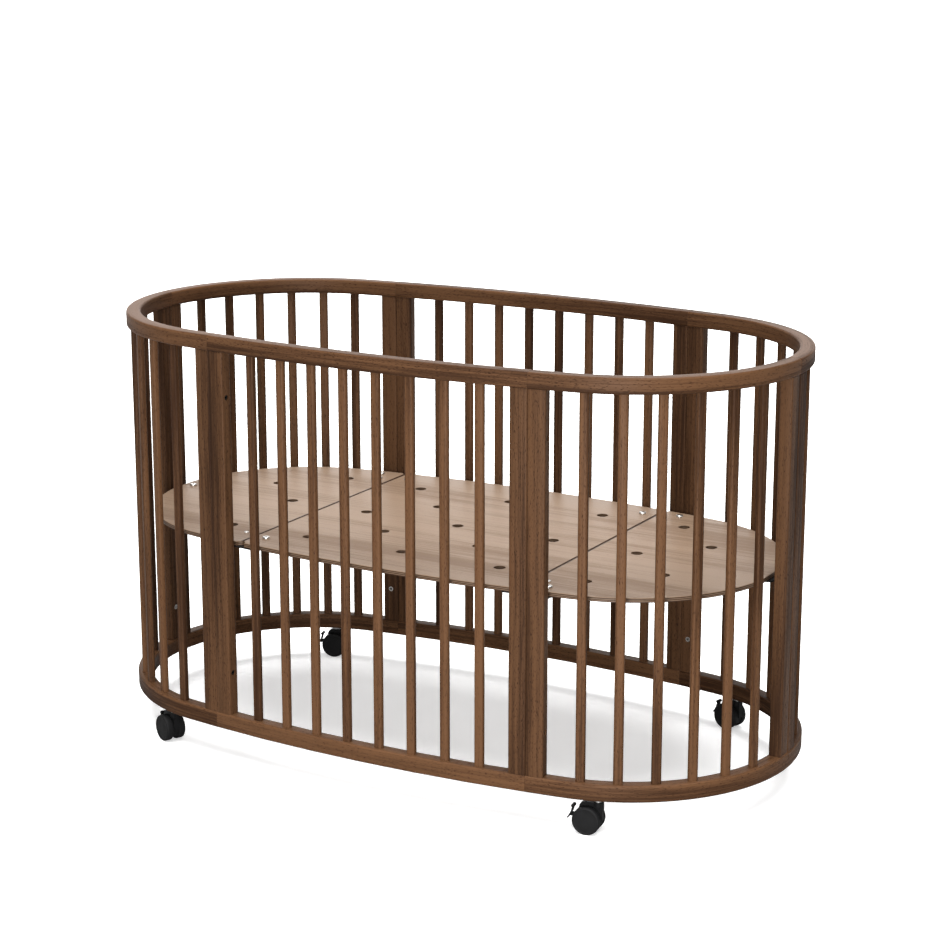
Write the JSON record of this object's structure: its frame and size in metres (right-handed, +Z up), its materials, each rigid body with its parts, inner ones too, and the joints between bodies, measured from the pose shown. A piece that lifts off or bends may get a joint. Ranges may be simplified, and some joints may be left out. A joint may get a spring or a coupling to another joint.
{
  "type": "baby crib",
  "caption": "Oval slatted baby crib of curved wooden panels bolted together, with a perforated mattress base on brackets and braked swivel casters.",
  "frame": {"origin": "on the floor under the middle of the crib", "axes": "+X along the length to the right, +Y towards the back, +Z up"},
  "size_m": [1.38, 0.72, 0.82],
  "materials": {
    "walnut_stained_beech": "satin walnut stain over fine straight grain",
    "stained_plywood": "satin, lighter than the frame, with a layered edge",
    "dark_bracket_steel": "satin dark coating",
    "bright_fixings": "bright zinc plating",
    "caster_steel": "turned and plated",
    "caster_plastic": "moulded black nylon",
    "caster_tread": "black, slightly soft tread"
  },
  "bodies": {
    "crib": {"base_board_left": "stained_plywood", "base_board_middle": "stained_plywood", "base_board_right": "stained_plywood", "base_brackets": "dark_bracket_steel", "board_bolts": "bright_fixings", "board_screws": "bright_fixings", "bottom_rail_back": "walnut_stained_beech", "bottom_rail_front": "walnut_stained_beech", "bottom_rail_left_back": "walnut_stained_beech", "bottom_rail_left_front": "walnut_stained_beech", "bottom_rail_right_back": "walnut_stained_beech", "bottom_rail_right_front": "walnut_stained_beech", "bracket_bolts": "dark_bracket_steel", "caster_sockets": "caster_steel", "height_inserts": "bright_fixings", "panel_bolts": "dark_bracket_steel", "panel_sleeve_nuts": "bright_fixings", "posts_back": "walnut_stained_beech", "posts_front": "walnut_stained_beech", "posts_left_back": "walnut_stained_beech", "posts_left_front": "walnut_stained_beech", "posts_right_back": "walnut_stained_beech", "posts_right_front": "walnut_stained_beech", "slats_back": "walnut_stained_beech", "slats_front": "walnut_stained_beech", "slats_left_back": "walnut_stained_beech", "slats_left_front": "walnut_stained_beech", "slats_right_back": "walnut_stained_beech", "slats_right_front": "walnut_stained_beech", "top_rail_back": "walnut_stained_beech", "top_rail_front": "walnut_stained_beech", "top_rail_left_back": "walnut_stained_beech", "top_rail_left_front": "walnut_stained_beech", "top_rail_right_back": "walnut_stained_beech", "top_rail_right_front": "walnut_stained_beech"},
    "fr_fork": {"caster_fr_stem": "caster_steel", "caster_fr_hood": "caster_plastic", "caster_fr_axle": "caster_steel"},
    "fr_wheel_a": {"caster_fr_wheel_a": "caster_tread"},
    "fr_wheel_b": {"caster_fr_wheel_b": "caster_tread"},
    "fr_brake": {"caster_fr_brake_lever": "caster_plastic"},
    "br_fork": {"caster_br_stem": "caster_steel", "caster_br_hood": "caster_plastic", "caster_br_axle": "caster_steel"},
    "br_wheel_a": {"caster_br_wheel_a": "caster_tread"},
    "br_wheel_b": {"caster_br_wheel_b": "caster_tread"},
    "br_brake": {"caster_br_brake_lever": "caster_plastic"},
    "bl_fork": {"caster_bl_stem": "caster_steel", "caster_bl_hood": "caster_plastic", "caster_bl_axle": "caster_steel"},
    "bl_wheel_a": {"caster_bl_wheel_a": "caster_tread"},
    "bl_wheel_b": {"caster_bl_wheel_b": "caster_tread"},
    "bl_brake": {"caster_bl_brake_lever": "caster_plastic"},
    "fl_fork": {"caster_fl_stem": "caster_steel", "caster_fl_hood": "caster_plastic", "caster_fl_axle": "caster_steel"},
    "fl_wheel_a": {"caster_fl_wheel_a": "caster_tread"},
    "fl_wheel_b": {"caster_fl_wheel_b": "caster_tread"},
    "fl_brake": {"caster_fl_brake_lever": "caster_plastic"}
  },
  "joints": [
    {"name": "fr_swivel", "type": "hinge", "parent": "crib", "child": "fr_fork", "pos_m": [0.45926, -0.30288, 0.0635], "axis": [0, 0, 1], "continuous": true},
    {"name": "fr_wheel_a_spin", "type": "hinge", "parent": "fr_fork", "child": "fr_wheel_a", "pos_m": [0.44143, -0.30539, 0.0257], "axis": [-0.1392, 0.9903, 0], "continuous": true},
    {"name": "fr_wheel_b_spin", "type": "hinge", "parent": "fr_fork", "child": "fr_wheel_b", "pos_m": [0.44143, -0.30539, 0.0257], "axis": [-0.1392, 0.9903, 0], "continuous": true},
    {"name": "fr_brake_press", "type": "hinge", "parent": "fr_fork", "child": "fr_brake", "pos_m": [0.42311, -0.30796, 0.03], "axis": [0.1392, -0.9903, 0], "range_deg": [0, 18]},
    {"name": "br_swivel", "type": "hinge", "parent": "crib", "child": "br_fork", "pos_m": [0.45926, 0.30288, 0.0635], "axis": [0, 0, 1], "continuous": true},
    {"name": "br_wheel_a_spin", "type": "hinge", "parent": "br_fork", "child": "br_wheel_a", "pos_m": [0.44187, 0.30754, 0.0257], "axis": [0.2588, 0.9659, 0], "continuous": true},
    {"name": "br_wheel_b_spin", "type": "hinge", "parent": "br_fork", "child": "br_wheel_b", "pos_m": [0.44187, 0.30754, 0.0257], "axis": [0.2588, 0.9659, 0], "continuous": true},
    {"name": "br_brake_press", "type": "hinge", "parent": "br_fork", "child": "br_brake", "pos_m": [0.424, 0.31233, 0.03], "axis": [-0.2588, -0.9659, 0], "range_deg": [0, 18]},
    {"name": "bl_swivel", "type": "hinge", "parent": "crib", "child": "bl_fork", "pos_m": [-0.45926, 0.30288, 0.0635], "axis": [0, 0, 1], "continuous": true},
    {"name": "bl_wheel_a_spin", "type": "hinge", "parent": "bl_fork", "child": "bl_wheel_a", "pos_m": [-0.47638, 0.29732, 0.0257], "axis": [-0.309, 0.9511, 0], "continuous": true},
    {"name": "bl_wheel_b_spin", "type": "hinge", "parent": "bl_fork", "child": "bl_wheel_b", "pos_m": [-0.47638, 0.29732, 0.0257], "axis": [-0.309, 0.9511, 0], "continuous": true},
    {"name": "bl_brake_press", "type": "hinge", "parent": "bl_fork", "child": "bl_brake", "pos_m": [-0.49397, 0.2916, 0.03], "axis": [0.309, -0.9511, 0], "range_deg": [0, 18]},
    {"name": "fl_swivel", "type": "hinge", "parent": "crib", "child": "fl_fork", "pos_m": [-0.45926, -0.30288, 0.0635], "axis": [0, 0, 1], "continuous": true},
    {"name": "fl_wheel_a_spin", "type": "hinge", "parent": "fl_fork", "child": "fl_wheel_a", "pos_m": [-0.47557, -0.29528, 0.0257], "axis": [0.4226, 0.9063, 0], "continuous": true},
    {"name": "fl_wheel_b_spin", "type": "hinge", "parent": "fl_fork", "child": "fl_wheel_b", "pos_m": [-0.47557, -0.29528, 0.0257], "axis": [0.4226, 0.9063, 0], "continuous": true},
    {"name": "fl_brake_press", "type": "hinge", "parent": "fl_fork", "child": "fl_brake", "pos_m": [-0.49234, -0.28746, 0.03], "axis": [-0.4226, -0.9063, 0], "range_deg": [0, 18]}
  ]
}
